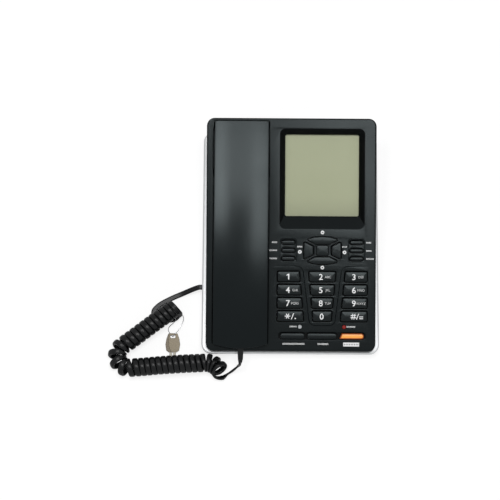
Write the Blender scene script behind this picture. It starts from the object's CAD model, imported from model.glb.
import math
import bpy
import bmesh
from mathutils import Matrix, Vector
from mathutils.geometry import tessellate_polygon


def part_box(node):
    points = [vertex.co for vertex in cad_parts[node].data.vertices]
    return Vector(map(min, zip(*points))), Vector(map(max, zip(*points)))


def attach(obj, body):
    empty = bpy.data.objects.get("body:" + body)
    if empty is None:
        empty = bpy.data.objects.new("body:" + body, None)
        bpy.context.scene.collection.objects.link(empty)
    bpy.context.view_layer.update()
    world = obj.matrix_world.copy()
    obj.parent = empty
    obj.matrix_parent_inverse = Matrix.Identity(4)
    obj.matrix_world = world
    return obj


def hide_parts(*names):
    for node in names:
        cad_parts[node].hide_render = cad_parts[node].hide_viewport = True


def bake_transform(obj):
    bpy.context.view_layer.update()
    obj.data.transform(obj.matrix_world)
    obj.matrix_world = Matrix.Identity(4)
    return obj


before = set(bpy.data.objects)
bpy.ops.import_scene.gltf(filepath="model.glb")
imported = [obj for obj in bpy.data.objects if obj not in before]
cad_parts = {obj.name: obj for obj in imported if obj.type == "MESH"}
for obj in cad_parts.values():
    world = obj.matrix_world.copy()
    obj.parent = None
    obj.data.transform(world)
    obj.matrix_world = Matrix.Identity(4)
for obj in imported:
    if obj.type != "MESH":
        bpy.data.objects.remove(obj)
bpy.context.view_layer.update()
scene = bpy.context.scene
scene.view_settings.view_transform = "Standard"
mm = 0.001
face = {"tilt": 12.0, "middle": 45.8307, "padX": 28.2}  # slope of the face, height of its middle, line of the keypad
tiltCos, tiltSin = math.cos(math.radians(face["tilt"])), math.sin(math.radians(face["tilt"]))


def onFace(u, v, w=0.0):  # across, up and out from the middle of the sloping face
    return Vector((u, v * tiltCos - w * tiltSin, face["middle"] + v * tiltSin + w * tiltCos)) * mm


# camera as the photograph was taken
view = {"target": (-36.99, -13.87, 42.88), "elevation": 78.0, "distance": 1400.0, "roll": 0.36,
        "focal": 1555.6, "pixels": 500, "sensor": 36}


def placeCamera():
    lift, roll = math.radians(view["elevation"]), math.radians(view["roll"])
    right, up = Vector((1, 0, 0)), Vector((0, math.sin(lift), math.cos(lift)))
    back = right.cross(up)
    turned = Matrix((right * math.cos(roll) + up * math.sin(roll), up * math.cos(roll) - right * math.sin(roll),
                     back)).transposed().to_4x4()
    turned.translation = (Vector(view["target"]) + back * view["distance"]) * mm
    data = bpy.data.cameras.new("deskCamera")
    data.sensor_width = view["sensor"]
    data.lens = view["sensor"] * view["focal"] / view["pixels"]
    camera = bpy.data.objects.new("deskCamera", data)
    camera.matrix_world = turned
    scene.collection.objects.link(camera)
    scene.camera = camera


placeCamera()
print("camera placed")


# finishes
class Wire:
    def __init__(self, finish, socket):
        self.finish, self.socket = finish, socket

    def maths(self, operation, other, turned=False):
        pair = {0: other, 1: self} if turned else {0: self, 1: other}
        return self.finish.node("ShaderNodeMath", {"operation": operation}, pair)

    def __add__(self, other):
        return self.maths("ADD", other)

    def __sub__(self, other):
        return self.maths("SUBTRACT", other)

    def __rsub__(self, other):
        return self.maths("SUBTRACT", other, True)

    def __mul__(self, other):
        return self.maths("MULTIPLY", other)

    __radd__ = __add__
    __rmul__ = __mul__


class Finish:
    def __init__(self, name, tree=None, **fixed):
        self.material = None if tree else bpy.data.materials.new(name)
        if self.material:
            self.material.use_nodes = True
        self.tree = tree or self.material.node_tree
        self.shader = self.tree.nodes.get("Principled BSDF")
        for socket, value in fixed.items():
            self.shader.inputs[socket.replace("_", " ")].default_value = value

    def node(self, kind, settings=None, sockets=None, out=0):
        made = self.tree.nodes.new(kind)
        for name, value in (settings or {}).items():
            setattr(made, name, value)
        for key, value in (sockets or {}).items():
            if isinstance(value, Wire):
                self.tree.links.new(value.socket, made.inputs[key])
            else:
                made.inputs[key].default_value = value
        return Wire(self, made.outputs[out])

    def feed(self, socket, wire):
        self.tree.links.new(wire.socket, self.shader.inputs[socket])

    def place(self):
        return self.node("ShaderNodeTexCoord", out="Object")

    def noise(self, scale, detail=2.0, place=None):
        sockets = {"Vector": place or self.place(), "Scale": scale, "Detail": detail}
        return self.node("ShaderNodeTexNoise", None, sockets)

    def tint(self, amount, low, high):
        return self.node("ShaderNodeMix", {"data_type": "RGBA"}, {0: amount, 6: (*low, 1), 7: (*high, 1)}, 2)

    def relief(self, height, depth):
        sockets = {"Height": height, "Distance": depth, "Strength": 1.0}
        self.feed("Normal", self.node("ShaderNodeBump", None, sockets))


def shaded(colour, factor):
    return tuple(min(1.0, c * factor) for c in colour)


plastic = {"cloud": 28.0, "detail": 3.0, "vary": 0.08}


def moulded(name, colour, roughness, grain=2200.0, depth=0.000012, spread=0.12, **fixed):  # plastic, rubber or paint
    finish = Finish(name, **fixed)
    cloud, fine, vary = finish.noise(plastic["cloud"], plastic["detail"]), finish.noise(grain), plastic["vary"]
    finish.feed("Base Color", finish.tint(cloud, shaded(colour, 1 - spread), shaded(colour, 1 + spread)))
    finish.feed("Roughness", cloud * vary + fine * vary + (roughness - vary))
    finish.relief(fine, depth)
    return finish.material


metal = {"stretch": (900.0, 60.0, 900.0), "depth": 0.000006, "cloud": 160.0, "detail": 3.0, "dark": 0.86, "light": 1.1,
         "lineVary": 0.14, "cloudVary": 0.1, "smoother": 0.12}


def plated(name, colour, roughness):  # metal with fine drawn lines
    finish = Finish(name, Metallic=1.0)
    lines = finish.node("ShaderNodeMapping", None, {"Vector": finish.place(), "Scale": metal["stretch"]})
    brushed, cloud = finish.noise(1.0, metal["detail"], lines), finish.noise(metal["cloud"], metal["detail"])
    finish.feed("Base Color", finish.tint(cloud, shaded(colour, metal["dark"]), shaded(colour, metal["light"])))
    varied = brushed * metal["lineVary"] + cloud * metal["cloudVary"]
    finish.feed("Roughness", varied + (roughness - metal["smoother"]))
    finish.relief(brushed, metal["depth"])
    return finish.material


cool = {"Specular_Tint": (0.86, 0.98, 1.0, 1.0)}  # the black plastic shines a little blue
blackShell = moulded("blackShell", (0.0024, 0.0034, 0.0038), 0.22, depth=0.000003, Specular_IOR_Level=0.13, **cool)
handsetShell = moulded("handsetShell", (0.0006, 0.0016, 0.0021), 0.19, depth=0.0000015,
                       Specular_IOR_Level=0.155, **cool)
keyPlastic = moulded("keyPlastic", (0.0048, 0.006, 0.0064), 0.24, depth=0.000003, Specular_IOR_Level=0.15, **cool)
deepBlack = moulded("deepBlack", (0.002, 0.0025, 0.0027), 0.4, depth=0.000004, Specular_IOR_Level=0.05)
orangePlastic = moulded("orangePlastic", (1.0, 0.4, 0.066), 0.3, depth=0.000005, spread=0.05)
orangeEdge = moulded("orangeEdge", (0.36, 0.07, 0.008), 0.35, depth=0.000005, spread=0.05)
silverPaint = moulded("silverPaint", (0.61, 0.62, 0.63), 0.4, grain=3600.0, spread=0.05, Metallic=0.35)
whiteInk = moulded("whiteInk", (0.83, 0.84, 0.84), 0.5, spread=0.04)
greyInk = moulded("greyInk", (0.64, 0.65, 0.65), 0.5, spread=0.04)
darkInk = moulded("darkInk", (0.05, 0.055, 0.06), 0.5)
cordJacket = moulded("cordJacket", (0.0045, 0.005, 0.0055), 0.3, grain=900.0, depth=0.000008, Specular_IOR_Level=0.18)
blackRubber = moulded("blackRubber", (0.02, 0.02, 0.021), 0.6, grain=1500.0, depth=0.00003)
innerPlastic = moulded("innerPlastic", (0.03, 0.031, 0.033), 0.45)
whitePlastic = moulded("whitePlastic", (0.8, 0.8, 0.78), 0.4, spread=0.04)
boardGreen = moulded("boardGreen", (0.03, 0.16, 0.06), 0.35, grain=700.0, spread=0.3)
greyRubber = moulded("greyRubber", (0.46, 0.46, 0.44), 0.55, spread=0.08)
darkSteel = moulded("darkSteel", (0.09, 0.09, 0.095), 0.42, Metallic=0.4)
cellWrap = moulded("cellWrap", (0.05, 0.16, 0.33), 0.3, Metallic=0.3)
steelPlate = plated("steelPlate", (0.62, 0.62, 0.64), 0.3)
brassTurned = plated("brassTurned", (0.72, 0.56, 0.26), 0.28)
keyNickel = moulded("keyNickel", (0.148, 0.125, 0.088), 0.5, grain=1400.0, depth=0.00001, Metallic=0.55)
keyShade = moulded("keyShade", (0.082, 0.068, 0.047), 0.45, grain=1400.0, depth=0.00001, Metallic=0.55)
keyBlade = moulded("keyBlade", (0.27, 0.255, 0.215), 0.5, grain=1400.0, depth=0.00001, Metallic=0.5)
ringSteel = plated("ringSteel", (0.3, 0.3, 0.31), 0.34)
whiteLens = moulded("whiteLens", (0.42, 0.44, 0.45), 0.2, depth=0.000002, spread=0.03)
redLens = moulded("redLens", (0.24, 0.007, 0.004), 0.2, depth=0.000002, Specular_IOR_Level=0.25)
clearPlug = moulded("clearPlug", (0.72, 0.77, 0.79), 0.16, depth=0.000002, spread=0.03, Alpha=0.55)
clearWindow = moulded("clearWindow", (0.62, 0.66, 0.6), 0.2, depth=0.000001, spread=0.02, Alpha=0.06,
                      Specular_IOR_Level=0.12)

display = {"light": (0.354, 0.377, 0.223), "dark": (0.316, 0.342, 0.197), "cloud": 14.0, "cell": 0.0009,
           "line": 0.00008, "lineTint": 0.12, "cloudTint": 0.7, "roughness": 0.3, "vary": 0.1}


def displayGlass():  # pale green, with the fine grid of its cells
    finish = Finish("displayGlass", Specular_IOR_Level=0.3)
    place = finish.place()
    cloud = finish.noise(display["cloud"], 2.0, place)
    white, black = (1, 1, 1, 1), (0, 0, 0, 1)
    cells = finish.node("ShaderNodeTexBrick", {"offset": 0.0}, {
        "Vector": place, "Color1": white, "Color2": white, "Mortar": black, "Scale": 1.0,
        "Mortar Size": display["line"], "Brick Width": display["cell"], "Row Height": display["cell"]}, "Fac")
    amount = cells * display["lineTint"] + cloud * display["cloudTint"]
    finish.feed("Base Color", finish.tint(amount, display["light"], display["dark"]))
    finish.feed("Roughness", cloud * display["vary"] + display["roughness"])
    return finish.material


displayGreen = displayGlass()
print("finishes mixed")

# shaping
least = {"radius": 0.02, "turn": 0.002, "gap": 1e-6, "edge": 1e-7}  # what is smaller counts as nothing


def rayAt(degrees):
    return Vector((math.cos(math.radians(degrees)), math.sin(math.radians(degrees))))


def boxCorners(u, v, width, length):
    return [(u - width / 2, v - length / 2), (u + width / 2, v - length / 2),
            (u + width / 2, v + length / 2), (u - width / 2, v + length / 2)]


def turnedOver(points, axis):
    return [(-u, v) if axis == "u" else (u, -v) for u, v in reversed(points)]


def movedTo(points, u, v):
    return [(u + a, v + b) for a, b in points]


def roundedLoop(corners, radius, grow=0.0, arc=15.0):  # outline with rounded corners, grown by an even band
    loop, count = [], len(corners)
    for i in range(count):
        before, here, after = (Vector(corners[(i + k) % count]) for k in (-1, 0, 1))
        r = radius[i] if isinstance(radius, (list, tuple)) else radius
        r = max(r, least["radius"] - grow)
        a, b = (here - before).normalized(), (after - here).normalized()
        a, b = Vector((a.y, -a.x)), Vector((b.y, -b.x))
        turn = math.acos(max(-1.0, min(1.0, a.dot(b))))
        middle = here - (a + b) * (r / (1 + a.dot(b)))
        steps = math.ceil(math.degrees(turn) / arc - 1e-6) if turn > least["turn"] else 0
        start = math.atan2(a.y, a.x)
        for s in range(steps + 1):
            angle = start + turn * (s / steps if steps else 0)
            loop.append(middle + Vector((math.cos(angle), math.sin(angle))) * (r + grow))
    return loop


def fillet(radius, steps=4):  # pairs of inset and drop over a quarter round, from the wall to the top
    return [(radius * (1 - math.cos(k / steps * math.pi / 2)), radius * (1 - math.sin(k / steps * math.pi / 2)))
            for k in range(steps + 1)]


def readTable(table, s, eased=False):
    if s <= table[0][0]:
        return table[0][1]
    for (a, x), (b, y) in zip(table, table[1:]):
        if s <= b:
            t = (s - a) / (b - a)
            return x + (y - x) * (t * t * (3 - 2 * t) if eased else t)
    return table[-1][1]


class Mould:
    def __init__(self):
        self.points, self.flats, self.faces, self.inks = [], [], [], []

    def point(self, place, u, v):
        self.points.append(place)
        self.flats.append((u, v, 0.0))
        return len(self.points) - 1

    def panel(self, corners, ink=0):
        self.faces.append(tuple(corners))
        self.inks.append(ink)

    def ring(self, flat, level, place=onFace):
        return [self.point(place(u, v, level(u, v) if callable(level) else level), u, v) for u, v in flat]

    def skin(self, first, second, closed=True, ink=0):
        count = len(first)
        for k in range(count if closed else count - 1):
            n = (k + 1) % count
            self.panel((first[k], first[n], second[n], second[k]), ink)

    def skins(self, rings, ink=0):
        for first, second in zip(rings, rings[1:]):
            self.skin(first, second, True, ink)

    def fill(self, *loops, ink=0):
        order = [k for loop in loops for k in loop]
        for three in tessellate_polygon([[Vector(self.flats[k]) for k in loop] for loop in loops]):
            self.panel((order[k] for k in three), ink)

    def shrink(self, flat, start, level, spine, steps):  # close a loop over a curved top, in to its spine
        rings = [start]
        for t in steps:
            rings.append(self.ring([Vector(p).lerp(Vector(spine(p)), t) for p in flat], level))
        self.skins(rings)

    def piece(self, name, rider, finishes, slot, hides=(), sharp=38.0):
        mesh = bpy.data.meshes.new(name)
        mesh.from_pydata([tuple(p) for p in self.points], [], self.faces)
        mesh.polygons.foreach_set("material_index", self.inks)
        joined = bmesh.new()
        joined.from_mesh(mesh)
        bmesh.ops.remove_doubles(joined, verts=joined.verts, dist=least["gap"])
        bmesh.ops.dissolve_degenerate(joined, edges=joined.edges, dist=least["edge"])
        bmesh.ops.recalc_face_normals(joined, faces=joined.faces)
        joined.to_mesh(mesh)
        joined.free()
        for finish in finishes:
            mesh.materials.append(finish)
        mesh.shade_smooth()
        mesh.set_sharp_from_angle(angle=math.radians(sharp))
        made = bpy.data.objects.new(name, mesh)
        scene.collection.objects.link(made)
        weighted = made.modifiers.new("evenNormals", "WEIGHTED_NORMAL")
        weighted.keep_sharp = True
        if rider:
            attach(made, rider)
        if hides:
            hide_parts(*hides)
        return made


# coiled cord, on the route that its solid takes
cord = {
    "width": 4.7, "coilWidth": 5.2, "thickness": 2.6, "looseThickness": 1.9, "curl": 7.2, "gap": 0.16,
    "perTurn": 24, "partTurn": 0.75, "looseSteps": 6, "stride": 0.5, "around": 3, "swellIn": 1.5, "swellOut": 0.5,
    "start": (-104.7, -61.4), "heading": 216.4,  # then straight runs, and bends with their radius and turn
    "moves": ((59.6, 0), (11, 147.8), (68, 0), (15, -72)),
    "heights": ((0, 12.2), (18, 11.8), (50, 8.8), (96, 8.8), (117, 11.7), (135, 11.7), (156, 8.8), (175, 8.6)),
    "tilts": ((0, 0), (152, 0), (176, 34)),
    "pitches": ((0, 4.9), (24, 5.1), (34, 5.5), (52, 5.5), (61, 7), (87, 7), (96, 5.1), (154, 5.1), (160, 5.4)),
    "tail": ((-90, -43.8, 6.5), (-98, -46.6, 2.8), (-108, -50.8, 1.7), (-116, -54.9, 1.5), (-119.6, -57.2, 1.5),
             (-122.6, -59.8, 1.5), (-124.7, -62.5, 1.5), (-125.1, -65.8, 1.5), (-123.9, -69, 1.5), (-121.2, -71.1, 1.5),
             (-117.8, -71.6, 1.5), (-111.4, -71.6, 1.6), (-105.4, -70.8, 2.8), (-101, -69, 6.4)),
    "tailOut": ((0, 0, -1),) * 12 + ((0.3, -0.4, -0.8), (0.5, -0.8, -0.3)),  # where the flat side faces
    "lead": ((-57.4, -121.5, 2.7), (-53, -118.8, 4.4), (-49, -116, 8.4), (-46.3, -114.1, 13.8), (-45, -113.8, 19.6),
             (-44.9, -113.7, 24.2)),
    "leadOut": ((0.45, -0.82, -0.3), (0.55, -0.83, 0.05), (0.75, -0.65, 0.1), (0.92, -0.38, 0.1), (0.94, -0.3, 0.2),
                (0.85, -0.4, 0.4), (0.62, -0.17, 0.76)),
    "plugFace": -79.9, "plugOut": 3.8, "plugY": -42.0, "plugZ": 9.0, "sleeveV": -111.1, "sleeveOut": 2.4,
    "flat": ((0.5, 0), (0.475, 0.25), (0.39, 0.43), (0.26, 0.5), (0.12, 0.46), (0.03, 0.36), (-0.03, 0.36),
             (-0.12, 0.46), (-0.26, 0.5), (-0.39, 0.43), (-0.475, 0.25), (-0.5, 0), (-0.475, -0.25), (-0.39, -0.43),
             (-0.26, -0.5), (-0.1, -0.47), (0.1, -0.47), (0.26, -0.5), (0.39, -0.43), (0.475, -0.25)),
    "square": 0.72, "bulge": 0.65, "sink": 0.15,  # section in the coil
    "blendStart": (-0.0826, -0.0652, 0.02), "blendEnd": (-0.0454, -0.1148, 0.02),
}


def moveLength(size, turn):
    return size * math.radians(abs(turn)) if turn else size


coilLength = sum(moveLength(size, turn) for size, turn in cord["moves"])


def alongCoil(s):  # point, heading and curvature of the coil's middle line
    point, heading = Vector(cord["start"]), cord["heading"]
    for i, (size, turn) in enumerate(cord["moves"]):
        length = moveLength(size, turn)
        d = s if s <= length or i == len(cord["moves"]) - 1 else length
        side = -1 if turn < 0 else 1
        if turn:
            bent = side * math.degrees(d / size)
            point = point + side * size * (rayAt(heading + 90) - rayAt(heading + 90 + bent))
            heading += bent
        else:
            point = point + d * rayAt(heading)
        if d == s:
            return point, heading, side / size if turn else 0.0
        s -= length


def curlSteps():  # turns made so far at each stride along the coil
    steps, s, t = [], 0.0, 0.0
    while s < coilLength:
        steps.append((t, s))
        t += cord["stride"] / readTable(cord["pitches"], s)
        s += cord["stride"]
    return steps


def curlWidth(s, angle):  # narrower where the curls crowd on the inside of a bend
    tightest = 0.0
    for d in (-cord["around"], 0, cord["around"]):
        e = max(0.0, min(coilLength, s + d))
        tilting = math.radians(readTable(cord["tilts"], e + 1, True) - readTable(cord["tilts"], e - 1, True)) / 2
        tightest = max(tightest, alongCoil(e)[2] * math.cos(angle) + tilting * math.sin(angle))
    return min(cord["coilWidth"], readTable(cord["pitches"], s) * (1 - cord["curl"] * tightest) - cord["gap"])


def curlPoint(t, turns, steps):
    s = readTable(steps, t / turns * steps[-1][0])
    point, heading, _ = alongCoil(s)
    side, ahead, lean = rayAt(heading + 90), rayAt(heading), math.radians(readTable(cord["tilts"], s, True))
    up = Vector((-ahead.x * math.sin(lean), -ahead.y * math.sin(lean), math.cos(lean)))
    angle = 2 * math.pi * t
    out = Vector((side.x, side.y, 0)) * math.cos(angle) + up * math.sin(angle)
    middle = Vector((point.x, point.y, readTable(cord["heights"], s, True)))
    swell = min(1.0, t / cord["swellIn"], (turns - t) / cord["swellOut"])
    return middle + out * cord["curl"], out, curlWidth(s, angle), swell


def smoothLine(points, steps):
    line = []
    for i in range(len(points) - 1):
        a, b, c, d = points[max(0, i - 1)], points[i], points[i + 1], points[min(len(points) - 1, i + 2)]
        for k in range(steps):
            t = k / steps
            line.append((2 * b + t * (c - a) + t * t * (2 * a - 5 * b + 4 * c - d)
                         + t ** 3 * (3 * b - a - 3 * c + d)) / 2)
    return line


def looseRun(points, outs):
    smooth = [smoothLine([Vector(p) for p in row], cord["looseSteps"]) for row in (points, outs)]
    return [(p, out, cord["width"], 0.0) for p, out in zip(*smooth)]


def cordRings():  # point, way out, width and roundness, from the base to the handset
    steps, more = curlSteps(), cord["looseSteps"]
    turns = math.floor(steps[-1][0] - cord["partTurn"]) + cord["partTurn"]
    coil = [curlPoint(j / cord["perTurn"], turns, steps) for j in range(round(turns * cord["perTurn"]) + 1)]
    down, leadUp, plugW = (0, 0, -1), Vector((0, -tiltSin, tiltCos)), cordPlugLevel()
    sleeve = [onFace(handset["u"], cord["sleeveV"] - d, plugW) / mm for d in (cord["sleeveOut"], 0.0)]
    plug = [(cord["plugFace"] - d, cord["plugY"], cord["plugZ"]) for d in (0.0, cord["plugOut"])]
    tail = looseRun([*plug, *cord["tail"], coil[0][0], coil[2][0]],
                    [down, down, *cord["tailOut"], coil[0][1], coil[2][1]])
    lead = looseRun([coil[-3][0], coil[-1][0], *cord["lead"], *sleeve],
                    [coil[-3][1], coil[-1][1], *cord["leadOut"], leadUp])
    return tail[:-more] + coil + lead[more + 1:] + [(sleeve[1], leadUp, cord["width"], 0.0)]


# handset, its outline and back
handset = {"u": -45.0, "width": 48.6, "front": -101.7, "back": 101.3, "radius": 0.7, "tubRadius": 1.6, "longer": 0.6,
           "tubLonger": 0.3, "shift": -0.2, "turn": 0.004, "bow": 76.0, "bowSteps": 8, "top": 14.0, "foot": 0.02,
           "archV": -30.0, "archDrop": 2.9, "crown": 1.2, "edge": 0.4, "mouth": 12.0, "grip": 7.0, "ear": 15.0,
           "mouthLength": 33.0, "earLength": 37.0, "ramp": 8.0, "nose": 4.5, "gap": 0.8, "seat": 0.4,
           "stations": range(-92, 93, 8), "topSteps": (0.06, 0.16, 0.3, 0.48, 0.7, 1.0)}
handset["archR"] = (handset["front"] - handset["archV"]) ** 2 / handset["archDrop"] / 2 + handset["archDrop"] / 2


def handsetMiddle(v):  # it lies a little askew in its cradle
    return handset["u"] + handset["shift"] + handset["turn"] * v


def backLevel(u, v):
    arch = handset["top"] - handset["archR"] + math.sqrt(handset["archR"] ** 2 - (v - handset["archV"]) ** 2)
    return arch - handset["crown"] * ((u - handsetMiddle(v)) / (handset["width"] / 2)) ** 2


def cordPlugLevel():
    low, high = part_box("handset_jack")
    middle = (low + high) / 2 / mm
    return (middle.z - face["middle"]) * tiltCos - middle.y * tiltSin


# pair of small keys on the ring, one on the other
smallKeys = {
    "x": -107.1, "y": -103.0, "low": 0.95, "middle": 1.85, "top": 2.75, "apart": 0.002,
    "bevel": 0.3, "bevelMiddle": 0.3, "bowRadius": 1.0, "bladeRadius": 0.1, "bladeLow": 0.15, "bladeHigh": 0.1,
    "hole": (0.0, 16.2, 4.9, 2.7), "holeRadius": 1.34,
    "bow": ((-0.8, 1.7), (3.4, 1.7), (5.9, 3.4), (6.75, 9), (6.0, 14), (4.2, 19.3), (-3.4, 19.3), (-3.8, 14), (-3.6, 8),
            (-2.4, 4)),
    "blade": ((0.5, -15.4), (1.6, -16), (2.4, -15), (2.4, -12.4), (1.9, -11.6), (2.9, -10.4), (2.2, -8.6), (2.9, -7),
              (2.2, -5.4), (2.9, -3.8), (2.9, 2.4), (0.5, 2.4)),
}


def buildSmallKeys():
    mould, bevel, part = Mould(), smallKeys["bevel"], smallKeys["bevelMiddle"]
    placed = lambda x, y, z: Vector((smallKeys["x"] + x, smallKeys["y"] + y, z)) * mm
    hole = (boxCorners(*smallKeys["hole"]), smallKeys["holeRadius"], 1)

    def plate(corners, radius, low, high, ink, *holes):
        rims = []
        for outline, r, side in ((corners, radius, -1), *holes):
            steps = ((0.0, low), (0.0, high - bevel), (side * bevel * part, high - bevel * part), (side * bevel, high))
            rings = [mould.ring(roundedLoop(outline, r, grow), z, placed) for grow, z in steps]
            mould.skins(rings, ink)
            rims.append(rings)
        mould.fill(*[rings[0] for rings in rims], ink=ink)
        mould.fill(*[rings[-1] for rings in rims], ink=ink)

    for low, high, turned, ink in ((smallKeys["low"], smallKeys["middle"], True, 1),
                                   (smallKeys["middle"] + smallKeys["apart"], smallKeys["top"], False, 0)):
        bow, blade = (turnedOver(smallKeys[k], "u") if turned else smallKeys[k] for k in ("bow", "blade"))
        plate(bow, smallKeys["bowRadius"], low, high, ink, hole)
        plate(blade, smallKeys["bladeRadius"], low + smallKeys["bladeLow"], high - smallKeys["bladeHigh"], 2)
    return mould.piece("smallKeys", "base", [keyNickel, keyShade, keyBlade], "key_metal", ["lock_key"], 30.0)


def buildCord(keyPair):
    mould, rings, loops = Mould(), cordRings(), []
    for i, (point, out, width, roundness) in enumerate(rings):
        before, after = rings[max(0, i - 1)][0], rings[min(len(rings) - 1, i + 1)][0]
        ahead = (after - before).normalized()
        side = ahead.cross(out).normalized()
        out = side.cross(ahead)
        thick = cord["looseThickness"] + (cord["thickness"] - cord["looseThickness"]) * roundness
        loop = []
        for k, flat in enumerate(cord["flat"]):
            across, outward = (math.copysign(abs(x) ** cord["square"], x) for x in rayAt(360 * k / len(cord["flat"])))
            bulged = Vector((across / 2, cord["bulge"] * outward - cord["sink"]))
            a, b = Vector(flat).lerp(bulged, roundness)
            loop.append(mould.point((point + side * (a * width) + out * (b * thick)) * mm, a, b))
        loops.append(loop)
    mould.skins(loops)
    mould.panel(loops[0])
    mould.panel(reversed(loops[-1]))
    made = mould.piece("coiledCord", None, [cordJacket], "cord_jacket", ["curly_cord"], 60.0)
    path = [ring[0] * mm for ring in rings]
    length = sum((b - a).length for a, b in zip(path, path[1:]))
    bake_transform(made)
    print("cord laid,", round(length, 3), "m")


buildCord(buildSmallKeys())


def handsetLoop(grow, stations, longer, radius):
    half, bow, front, back = handset["width"] / 2, handset["bow"], handset["front"] - longer, handset["back"] + longer
    swing, steps = math.degrees(math.asin(half / bow)), handset["bowSteps"]
    corners = [Vector((handset["u"], front + bow)) + bow * rayAt(swing * i / steps - 90)
               for i in range(-steps, steps + 1)]
    corners += [(handset["u"] + half, v) for v in stations] + [(handset["u"] + half, back)]
    corners += [(handset["u"] - half, back)] + [(handset["u"] - half, v) for v in reversed(stations)]
    return [Vector((p.x + handsetMiddle(p.y) - handset["u"], p.y)) for p in roundedLoop(corners, radius, grow)]


def handsetSpine(p):
    return handsetMiddle(p[1]), p[1]


def buildHandset():
    mould = Mould()
    loop = lambda grow: handsetLoop(grow, handset["stations"], handset["longer"], handset["radius"])
    rings = [mould.ring(loop(0.0), handset["foot"])]
    for inset, drop in fillet(handset["edge"]):
        flat = loop(-inset)
        rings.append(mould.ring(flat, lambda u, v: backLevel(u, v) - drop))
    mould.skins(rings)
    mould.shrink(flat, rings[-1], backLevel, handsetSpine, handset["topSteps"])
    mould.piece("handsetBack", "handset", [handsetShell], "black_shell", ["handset_back"])
    print("handset back shaped")


buildHandset()

# keys
keypad = {
    "rows": (("1", "2", "3"), ("4", "5", "6"), ("7", "8", "9"), ("star", "0", "hash")),
    "rowV": -37.8, "rowPitch": 11.87, "keyLength": 9.0, "half": 40.3, "midHalf": 11.65, "midStep": 1.1,
    "columnGap": 8.8, "radius": 1.2, "rise": 2.0, "bow": 0.42, "smallRise": 1.6, "foot": -3.2, "arc": 22.5,
    "edge": 0.55, "orangeEdge": 0.95, "edgeSteps": 3, "topSteps": (0.2, 0.5, 0.8, 1.0),
    "softX": 30.7, "softPitch": 7.3, "softWidth": 11.6, "softLength": 3.2, "softFlat": 0.1, "softBow": 0.2,
    "navV": -14.3, "navRadius": 0.8, "navBow": 0.25, "middle": (10.8, 9.3), "middleRadius": 2.0,
    "navTop": ((-6.6, 5.8), (6.6, 5.8), (14.3, 9.9), (7.5, 11.9), (0, 12.5), (-7.5, 11.9), (-14.3, 9.9)),
    "navSide": ((-16.4, -7.6), (-8.4, -3.6), (-8.4, 3.6), (-16.4, 7.6), (-16.9, 0)),
    "longV": -91.2, "longLength": 5.0, "longWidth": 22.0, "longMiddle": 26.6, "longIn": 2.6, "longFlat": 0.2,
    "longBow": 0.3, "slant": 2.2, "slantRadii": (0.7, 2.3, 2.3, 1.0),
}


def keyOutlines():  # corners, corner radius, rise and bow of the top, by name
    made, padX, navV, rise = {}, face["padX"], keypad["navV"], keypad["smallRise"]
    half = keypad["keyLength"] / 2
    slope = keypad["midStep"] / keypad["rowPitch"] * half
    for row, names in enumerate(keypad["rows"]):
        v, h = keypad["rowV"] - row * keypad["rowPitch"], keypad["midHalf"] - row * keypad["midStep"]
        inner, outer = h + keypad["columnGap"], keypad["half"]
        side = [(inner - slope, -half), (outer, -half), (outer, half), (inner + slope, half)]
        centre = [(slope - h, -half), (h - slope, -half), (h + slope, half), (-h - slope, half)]
        for name, corners in zip(names, (turnedOver(side, "u"), centre, side)):
            made["key_" + name] = movedTo(corners, padX, v), keypad["radius"], keypad["rise"], keypad["bow"]
    width, length = keypad["softWidth"], keypad["softLength"]
    for word, u in (("left", -keypad["softX"]), ("right", keypad["softX"])):
        for row in range(3):
            corners = boxCorners(padX + u, navV + (1 - row) * keypad["softPitch"], width, length)
            made[f"soft_{word}_{row + 1}"] = corners, length / 2 - keypad["softFlat"], rise, keypad["softBow"]
    top, side = keypad["navTop"], keypad["navSide"]
    for name, corners in (("up", top), ("down", turnedOver(top, "v")),
                          ("left", side), ("right", turnedOver(side, "u"))):
        made["nav_" + name] = movedTo(corners, padX, navV), keypad["navRadius"], rise, keypad["navBow"]
    made["nav_middle"] = boxCorners(padX, navV, *keypad["middle"]), keypad["middleRadius"], rise, keypad["navBow"]
    v, width, length = keypad["longV"], keypad["longWidth"], keypad["longLength"]
    shift = keypad["half"] - keypad["longIn"] - width / 2
    for name, u, wide in (("left", -shift, width), ("middle", 0, keypad["longMiddle"]), ("right", shift, width)):
        corners, radius = boxCorners(padX + u, v, wide, length), length / 2 - keypad["longFlat"]
        if name == "right":
            corners[3] = (corners[3][0] + keypad["slant"], corners[3][1])
            radius = keypad["slantRadii"]
        made[f"long_{name}_key"] = corners, radius, rise, keypad["longBow"]
    return made


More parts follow.
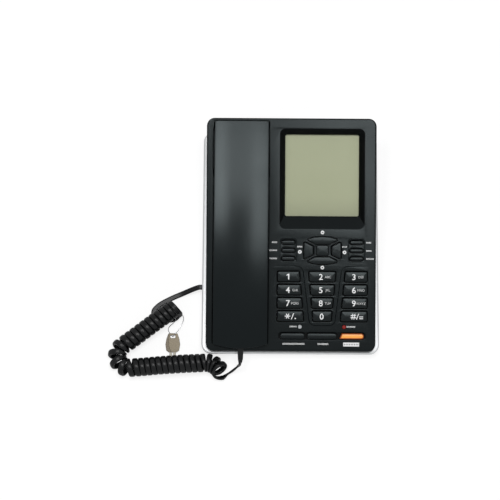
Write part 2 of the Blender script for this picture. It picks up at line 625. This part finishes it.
keys = keyOutlines()
printing = {"lift": 0.025, "over": 0.04, "band": 0.5, "capital": 0.729}  # the last is how tall the font's capitals are
figures = {
    "columns": (-30.9, -1.3, 28.4), "tall": 5.5, "bold": 0.012, "zeroRight": 0.9,
    "one": ((0.1, -2.6), (1.15, -2.6), (1.15, 2.65), (0.35, 2.65), (-1.2, 1.6), (-1.2, 0.65), (0.1, 1.3)),
    "letters": {"2": "ABC", "3": "DEF", "4": "GHI", "5": "JKL", "6": "MNO", "7": "PQRS", "8": "TUV", "9": "WXYZ"},
    "lettersRight": 6.3, "lettersLow": 0.2, "lettersTall": 2.2, "lettersWide": 0.95,
    "starU": -2.9, "starReach": 2.5, "starBar": 0.8, "dot": (4.1, -2.0, 0.6),
    "bars": {  # start, end and width of each
        "star": ((0.5, -2.8, 2.6, 2.6, 0.7),),
        "hash": ((54.85, -2.6, 55.85, 2.5, 0.75), (53.8, -1.05, 58.8, -1.05, 0.75),
                 (61.6, -1.9075, 65.0, -1.9075, 0.7), (56.75, -2.6, 57.75, 2.5, 0.75),
                 (53.8, 0.85, 58.8, 0.85, 0.75), (61.6, -0.2925, 65.0, -0.2925, 0.7),
                 (59.0, -2.8, 61.1, 2.6, 0.7))},
    "arrowOut": 0.6, "arrowHalf": 0.5, "arrowWide": 0.75,
}


def layInk(mould, flat, level, ink=1, raised=printing["lift"]):  # cut a shape in narrow bands and lay it on a surface
    heights = [p.co.y for p in flat.verts]
    low, high, band = min(heights), max(heights), printing["band"]
    for k in range(1, math.ceil((high - low) / band)):
        parts = flat.verts[:] + flat.edges[:] + flat.faces[:]
        bmesh.ops.bisect_plane(flat, geom=parts, plane_co=(0, low + band * k, 0), plane_no=(0, 1, 0))
    flat.verts.index_update()
    spots = mould.ring([p.co.xy for p in flat.verts], lambda u, v: level(u, v) + raised)
    for part in flat.faces:
        mould.panel((spots[p.index] for p in part.verts), ink)
    flat.free()


def inkWord(mould, words, u, v, size, level, bold=0.0, wide=1.0, ink=1):
    data = bpy.data.curves.new("word", "FONT")
    data.body, data.align_x, data.offset, data.resolution_u = words, "CENTER", bold, 4
    holder = bpy.data.objects.new("word", data)
    mesh = bpy.data.meshes.new_from_object(holder)
    tall = printing["capital"]
    flat = bmesh.new()
    flat.from_mesh(mesh)
    for p in flat.verts:
        p.co = (u + p.co.x * size / tall * wide, v + (p.co.y / tall - 0.5) * size, 0.0)
    layInk(mould, flat, level, ink)
    bpy.data.meshes.remove(mesh)
    bpy.data.objects.remove(holder)
    bpy.data.curves.remove(data)


def inkShape(mould, outline, level, ink=1, raised=printing["lift"]):
    flat = bmesh.new()
    flat.faces.new([flat.verts.new((u, v, 0.0)) for u, v in outline])
    layInk(mould, flat, level, ink, raised)


def inkBar(mould, start, end, width, level, ink=1, raised=printing["lift"]):
    a, b = Vector(start), Vector(end)
    across = Vector((b.y - a.y, a.x - b.x)).normalized() * width / 2
    inkShape(mould, [a + across, b + across, b - across, a - across], level, ink, raised)


def inkDisc(mould, u, v, radius, level, ink=1, raised=printing["lift"], count=24):
    inkShape(mould, [Vector((u, v)) + radius * rayAt(360 * k / count) for k in range(count)], level, ink, raised)


def inkSign(mould, sign, v, level):  # star or hash, with what stands beside it
    if sign == "star":
        middle = Vector((figures["starU"], v))
        for angle in (0, 60, 120):
            arm = figures["starReach"] * rayAt(angle)
            inkBar(mould, middle + arm, middle - arm, figures["starBar"], level)
    for a, b, c, d, width in figures["bars"][sign]:
        inkBar(mould, (a, v + b), (c, v + d), width, level)
    if sign == "star":
        u, below, radius = figures["dot"]
        inkDisc(mould, u, v + below, radius, level)


def inkDigit(mould, digit, v, level):
    u = face["padX"] + figures["columns"][1 if digit == "0" else (int(digit) - 1) % 3]
    if digit == "1":
        inkShape(mould, movedTo(figures["one"], u, v), level)
    else:
        right = figures["zeroRight"] if digit == "0" else 0.0
        inkWord(mould, digit, u + right, v, figures["tall"], level, figures["bold"])
    if digit in figures["letters"]:
        inkWord(mould, figures["letters"][digit], u + figures["lettersRight"], v - figures["lettersLow"],
                figures["lettersTall"], level, 0.0, figures["lettersWide"], 2)


def inkArrow(mould, middle, level):  # points away from the middle key
    away = (middle - Vector((face["padX"], keypad["navV"]))).normalized()
    across = Vector((away.y, -away.x)) * figures["arrowWide"]
    centre, reach = middle + away * figures["arrowOut"], away * figures["arrowHalf"]
    inkShape(mould, [centre + reach, centre - reach + across, centre - reach - across], level, 3)


def buildKeys():
    for name, (corners, radius, rise, bow) in keys.items():
        mould, orange = Mould(), name == "long_right_key"
        us, vs = zip(*corners)
        cu, halfU = (min(us) + max(us)) / 2, (max(us) - min(us)) / 2
        cv, halfV = (min(vs) + max(vs)) / 2, (max(vs) - min(vs)) / 2
        level = lambda u, v: rise - bow * ((v - cv) / halfV) ** 2
        rings = [mould.ring(roundedLoop(corners, radius, 0.0, keypad["arc"]), keypad["foot"])]
        for inset, drop in fillet(keypad["orangeEdge" if orange else "edge"], keypad["edgeSteps"]):
            flat = roundedLoop(corners, radius, -inset, keypad["arc"])
            rings.append(mould.ring(flat, lambda u, v: level(u, v) - drop))
        mould.skins(rings, int(orange))
        reach = max(0.0, halfU - halfV)
        spine = lambda p: (cu + max(-reach, min(reach, p[0] - cu)), cv)
        mould.shrink(flat, rings[-1], level, spine, keypad["topSteps"])
        kind, mark = name.split("_")[:2]
        if kind == "key" and mark in figures["bars"]:
            inkSign(mould, mark, cv, level)
        elif kind == "key":
            inkDigit(mould, mark, cv, level)
        elif kind == "nav" and mark != "middle":
            inkArrow(mould, Vector((cu, cv)), level)
        finishes = [orangePlastic, orangeEdge] if orange else [keyPlastic, whiteInk, greyInk, deepBlack]
        mould.piece(name + ".cap", name + "_cap", finishes, "key_orange" if orange else "key_black", [name])
    print("keys shaped,", len(keys))


buildKeys()

# black upper housing
housing = {
    "width": 153.0, "depth": 205.411, "radius": 7.0, "edge": 1.6, "edgeSteps": 5, "seam": 16.0,
    "screen": (27.7, 53.6, 67.0, 74.0), "frameSide": 4.3, "frameTop": 4.3, "frameLow": 11.6, "screenDepth": 5.0,
    "recessRadius": 4.4, "screenRadius": 1.8, "recessRim": ((0.6, 0.0), (0.15, -0.14)), "recessSlope": (0.1, 0.5, 0.94),
    "screenRim": ((-0.1, 0.15), (-0.2, 1.5)), "sillBelow": 0.6,
    "tubStations": (-96.4, -92, -64.2, -56.2, -30, 0, 30, 51.8, 59.8, 80, 94, 96.8), "tubLip": -0.5,
    "tubRim": ((0.5, 0.0), (0.15, -0.12)), "tubSteps": (0.1, 0.2, 0.34, 0.6, 1.0),
    "tubWiden": ((50, 0.0), (60, 0.9), (93, 1.1), (97, 0.0)), "tubSide": 20,  # more room at the left of the ear end
    "wellSteps": ((1.0, 0.0), (0.4, 0.18), (0.1, 0.5), (0.0, 1.0)), "wellDepth": 2.6, "wellGap": 0.25,
    "wellSoft": 0.8, "navSoft": {"nav_middle": 0.12, "nav_up": 0.48, "nav_down": 0.48},
    "dishSteps": ((0.35, 0.0), (0.12, -0.06), (0.0, -0.2), (-0.05, -0.4), (-0.25, -0.5)), "dishEdge": 1.6,
    "softDish": (2.4, 0.7), "longDish": (2.6, 0.25),  # corner radius, softness of the wells in it
    "lampX": 19.9, "lampV": -83.0, "lampRadius": 1.8, "lampFlat": 0.001, "lampGap": 0.05, "lampSoft": 0.3,
    "grooveHalf": 0.34, "grooveDepth": 0.3,
    "groove": ((-13.6, -28.4), (-4, -28.4), (4.6, -28.4), (7.6, -28.9), (9.8, -30.4), (11, -33), (12.4, -44), (14, -57),
               (15.5, -70), (16.3, -76.6), (17.2, -79.6), (19.4, -81.3), (22.4, -81.8), (28.2, -81.9)),
}


def cradleFloor(v):
    g, s = handset["gap"], handset["seat"]
    front, back, nose, ramp = handset["front"], handset["back"], handset["nose"], handset["ramp"]
    mouth, grip, ear = -handset["mouth"] - s, -handset["grip"] - s, -handset["ear"] - s
    table = ((front - g, 0.0), (front + nose - g, mouth), (front + nose + handset["mouthLength"] + g, mouth),
             (front + nose + handset["mouthLength"] + ramp + g, grip),
             (back - nose - handset["earLength"] - ramp - g, grip), (back - nose - handset["earLength"] - g, ear),
             (back - nose + g, ear), (back + g, 0.0))
    return readTable(table, v)


def tub(mould):  # cradle for the handset; this and the next ones give their rim
    def outline(grow):
        loop = handsetLoop(handset["gap"] + grow, housing["tubStations"], handset["tubLonger"], handset["tubRadius"])
        left = handset["u"] - housing["tubSide"]
        return [p - Vector((readTable(housing["tubWiden"], p.y) if p.x < left else 0.0, 0.0)) for p in loop]

    floor = lambda u, v: cradleFloor(v)
    flat = outline(0.0)
    rings = [mould.ring(outline(grow), w) for grow, w in housing["tubRim"]]
    rings += [mould.ring(flat, lambda u, v: max(housing["tubLip"], cradleFloor(v))), mould.ring(flat, floor)]
    mould.skins(rings)
    mould.shrink(flat, rings[-1], floor, handsetSpine, housing["tubSteps"])
    return rings[0]


def recess(mould):  # frame that slopes in to the display
    su, sv, sw, sl = housing["screen"]
    left, right = su - sw / 2 - housing["frameSide"], su + sw / 2 + housing["frameSide"]
    low, high = sv - sl / 2 - housing["frameLow"], sv + sl / 2 + housing["frameTop"]
    corners = [(left, low), (right, low), (right, high), (left, high)]
    deep, first = housing["screenDepth"], len(mould.faces)
    outer = lambda grow=0.0: roundedLoop(corners, housing["recessRadius"], grow)
    inner = lambda grow=0.0: roundedLoop(boxCorners(su, sv, sw, sl), housing["screenRadius"], grow)
    rings = [mould.ring(outer(grow), w) for grow, w in housing["recessRim"]]
    for t in housing["recessSlope"]:
        rings.append(mould.ring([a.lerp(b, t) for a, b in zip(outer(), inner())], -t * deep))
    rings += [mould.ring(inner(grow), -deep - w) for grow, w in housing["screenRim"]]
    mould.skins(rings)
    for k in range(first, len(mould.faces)):  # the sides and the top are flat black, the sill below is as the shell
        height = sum(mould.flats[p][1] for p in mould.faces[k]) / 4
        mould.inks[k] = int(height > sv - sl / 2 - housing["sillBelow"])
    return rings[0]


def well(mould, corners, radius, gap, level, soft):  # opening with a softened black rim
    steps = [(gap + soft * a, -soft * b) for a, b in housing["wellSteps"]] + [(gap, -housing["wellDepth"])]
    rings = [mould.ring(roundedLoop(corners, radius, grow, keypad["arc"]), level + w) for grow, w in steps]
    mould.skins(rings, 1)
    return rings[0]


def dish(mould, corners, radius, soft, names, ink=0):  # shallow dish with a well for each of its keys
    rings = [mould.ring(roundedLoop(corners, radius, grow), w) for grow, w in housing["dishSteps"]]
    mould.skins(rings)
    low = housing["dishSteps"][-1][1]
    wells = [well(mould, *keys[name][:2], housing["wellGap"], low, soft) for name in names]
    mould.fill(rings[-1], *wells, ink=ink)
    return rings[0]


def groove(mould):  # fine line round the keypad
    half = housing["groove"]
    path = half + tuple((2 * face["padX"] - u, v) for u, v in reversed(half[:-1]))
    edges = ([], [])
    for i, p in enumerate(path):
        a, b = Vector(path[max(0, i - 1)]), Vector(path[min(len(path) - 1, i + 1)])
        across = Vector((b.y - a.y, a.x - b.x)).normalized() * housing["grooveHalf"]
        edges[0].append(Vector(p) + across)
        edges[1].append(Vector(p) - across)
    sides = [mould.ring(edge, 0.0) for edge in edges]
    depths = [0.0] + [-housing["grooveDepth"]] * (len(path) - 2) + [0.0]
    middle = [mould.ring([p], d)[0] for p, d in zip(path, depths)]
    mould.skin(sides[0], middle, False)
    mould.skin(middle, sides[1], False)
    return sides[0] + list(reversed(sides[1]))


def buildHousing():
    mould, padX, edge = Mould(), face["padX"], 2 * housing["dishEdge"]
    plan = boxCorners(0, 0, housing["width"], housing["depth"])
    upright = lambda x, y, z: Vector((x, y, z)) * mm
    slope = tiltSin / tiltCos
    rings = [mould.ring(roundedLoop(plan, housing["radius"]), housing["seam"], upright)]
    for inset, drop in fillet(housing["edge"], housing["edgeSteps"]):
        flat = roundedLoop(plan, housing["radius"], -inset)
        rings.append(mould.ring(flat, lambda x, y: face["middle"] + y * slope - drop / tiltCos, upright))
    mould.skins(rings)
    for k, (x, y) in zip(rings[-1], flat):
        mould.flats[k] = (x, y / tiltCos, 0.0)

    rims = [tub(mould), recess(mould)]
    width, length = keypad["softWidth"] + edge, 2 * keypad["softPitch"] + keypad["softLength"] + edge
    for word, u in (("left", -keypad["softX"]), ("right", keypad["softX"])):
        corners = boxCorners(padX + u, keypad["navV"], width, length)
        rims.append(dish(mould, corners, *housing["softDish"], [f"soft_{word}_{k}" for k in (1, 2, 3)]))
    width, length = 2 * (keypad["half"] - keypad["longIn"]) + edge, keypad["longLength"] + housing["dishEdge"]
    corners = boxCorners(padX, keypad["longV"], width, length)
    rims.append(dish(mould, corners, *housing["longDish"], [f"long_{k}_key" for k in ("left", "middle", "right")], 1))
    for name, (corners, radius, _, _) in keys.items():
        if name.startswith(("key_", "nav_")):
            soft = housing["navSoft"].get(name, housing["wellSoft"])
            rims.append(well(mould, corners, radius, housing["wellGap"], 0.0, soft))
    radius = housing["lampRadius"]
    for u in (-housing["lampX"], housing["lampX"]):
        spot = boxCorners(padX + u, housing["lampV"], 2 * radius, 2 * radius)
        rims.append(well(mould, spot, radius - housing["lampFlat"], housing["lampGap"], 0.0, housing["lampSoft"]))
    rims.append(groove(mould))
    mould.fill(rings[-1], *rims)
    mould.piece("upperHousing", "base", [blackShell, deepBlack], "black_shell", ["upper_housing"])
    print("upper housing shaped,", len(rims), "openings")


buildHousing()

# plain marks printed beside the keys
marks = {
    "rows": ((-17.4, -12.5, -7.0, 1.3), (-19.6, -12.5, -14.3, 1.3), (-19.6, -12.5, -21.6, 1.3), (67.4, 72.1, -7.0, 1.3),
             (67.4, 72.4, -14.3, 1.3), (67.4, 74.5, -21.6, 1.3), (5.3, 10.1, -10.9, 1.3), (45.8, 50.3, -10.9, 1.3),
             (-1.0, 5.4, -82.8, 1.4), (50.2, 58.2, -82.8, 1.4), (-7.4, 12.6, -98.4, 1.5), (24.1, 34.1, -98.4, 1.5)),
    "bar": 0.5, "step": 1.0,  # each row of bars above has its start, end, height on the face and size
    "discs": ((28.2, 2.0), (28.2, -29.6), (7.9, -15.6), (48.1, -15.8)), "discRadius": 1.66, "discHole": 0.4,
    "plate": (47.4, 61.8, -98.7, 3.5), "dots": 9, "dotStart": 1.2, "dotStep": 1.5, "dotHalf": 0.3, "dotTall": 1.4,
}


def buildMarks():
    mould = Mould()
    flatLevel = lambda u, v: 0.0
    for start, end, v, size in marks["rows"]:
        count = round((end - start) / marks["step"])
        for k in range(count):
            u = start + (end - start) * (k + 0.5) / count
            inkShape(mould, boxCorners(u, v, marks["bar"], size), flatLevel)
    for u, v in marks["discs"]:
        inkDisc(mould, u, v, marks["discRadius"], flatLevel)
        inkDisc(mould, u, v, marks["discRadius"] * marks["discHole"], flatLevel, 2, printing["over"])
    left, right, v, size = marks["plate"]
    inkBar(mould, (left, v), (right, v), size, flatLevel)
    for k in range(marks["dots"]):
        u, half = left + marks["dotStart"] + marks["dotStep"] * k, marks["dotHalf"]
        inkBar(mould, (u - half, v), (u + half, v), marks["dotTall"], flatLevel, 2, printing["over"])
    mould.piece("faceMarks", "base", [blackShell, whiteInk, darkInk], "white_plastic")
    print("marks printed")


buildMarks()

# finishes of the pieces that keep their solid
kept = {
    "lower_housing": silverPaint, "battery_door": silverPaint, "display_window": clearWindow, "lcd_panel": displayGreen,
    "backlight": whitePlastic, "main_board": boardGreen, "keypad_mat": greyRubber, "loudspeaker": darkSteel,
    "batteries": cellWrap, "battery_contacts": steelPlate, "base_screws": steelPlate, "rubber_feet": blackRubber,
    "hook_switch": innerPlastic, "line_jack": innerPlastic, "cord_jack": innerPlastic, "white_lamp": whiteLens,
    "red_lamp": redLens, "lock_barrel": steelPlate, "base_plug": clearPlug, "key_ring": ringSteel,
    "handset_face": handsetShell, "receiver_capsule": darkSteel, "microphone": steelPlate, "handset_weight": steelPlate,
    "handset_jack": innerPlastic, "handset_plug": cordJacket, "hook_plunger": whitePlastic, "lock_plug": brassTurned,
}
for name, finish in kept.items():
    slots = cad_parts[name].data.materials
    slots.clear()
    slots.append(finish)
print("finishes put on", len(kept), "solids")

# floor, light and background
studio = {
    "floor": 6.0, "paper": 0.86, "paperCloud": 3.0, "paperVary": 0.02, "paperDarker": 0.58,
    "paperGlow": (0.78, 0.78, 0.78), "sky": 0.28, "boxes": (  # place, turn, width, length and power of each soft box
        ((-0.32, 0.12, 1.5), 0, 0.2, 0.54, 5.0), ((0.185, 0.04, 1.5), 0, 0.23, 0.64, 5.1),
        ((-0.06, 0.19, 1.5), 0, 0.26, 0.46, 2.6), ((0.0, -1.3, 0.2), 90, 0.9, 0.2, 7.0)),
}


def buildFloor():
    mesh = bpy.data.meshes.new("floor")
    size = studio["floor"]
    mesh.from_pydata([(x, y, 0) for x, y in boxCorners(0, 0, size, size)], [], [(0, 1, 2, 3)])
    paper = Finish("paperFloor", Roughness=0.9, Specular_IOR_Level=0.1, Emission_Strength=1.0)
    cloud = paper.noise(studio["paperCloud"])
    seen = paper.node("ShaderNodeLightPath", out="Is Camera Ray")
    # to the camera alone the paper is darker and glows, so its shadow stays light
    shade = cloud * studio["paperVary"] + studio["paper"] - seen * studio["paperDarker"]
    paper.feed("Base Color", paper.node("ShaderNodeCombineColor", None, {0: shade, 1: shade, 2: shade}))
    paper.feed("Emission Color", paper.tint(seen, (0, 0, 0), studio["paperGlow"]))
    mesh.materials.append(paper.material)
    floor = bpy.data.objects.new("floor", mesh)
    scene.collection.objects.link(floor)


def buildLights():
    for k, (place, turn, *sizes) in enumerate(studio["boxes"]):
        data = bpy.data.lights.new(f"softBox{k}", "AREA")
        data.shape = "RECTANGLE"
        data.size, data.size_y, data.energy = sizes
        lamp = bpy.data.objects.new(f"softBox{k}", data)
        lamp.location, lamp.rotation_euler.x = place, math.radians(turn)
        lamp.visible_glossy = not turn  # the front one only fills
        scene.collection.objects.link(lamp)
    world = bpy.data.worlds.new("studio")
    world.use_nodes = True
    scene.world = world
    sky = Finish("studio", world.node_tree)
    paths = sky.node("ShaderNodeLightPath")
    ray = lambda name: Wire(sky, paths.socket.node.outputs[name])
    bright = ray("Is Camera Ray").maths("MAXIMUM", ray("Is Glossy Ray")).maths("MAXIMUM", ray("Is Transmission Ray"))
    background = world.node_tree.nodes["Background"]
    background.inputs["Color"].default_value = (1, 1, 1, 1)
    world.node_tree.links.new((bright * (1 - studio["sky"]) + studio["sky"]).socket, background.inputs["Strength"])
    print("studio lit")


buildFloor()
buildLights()
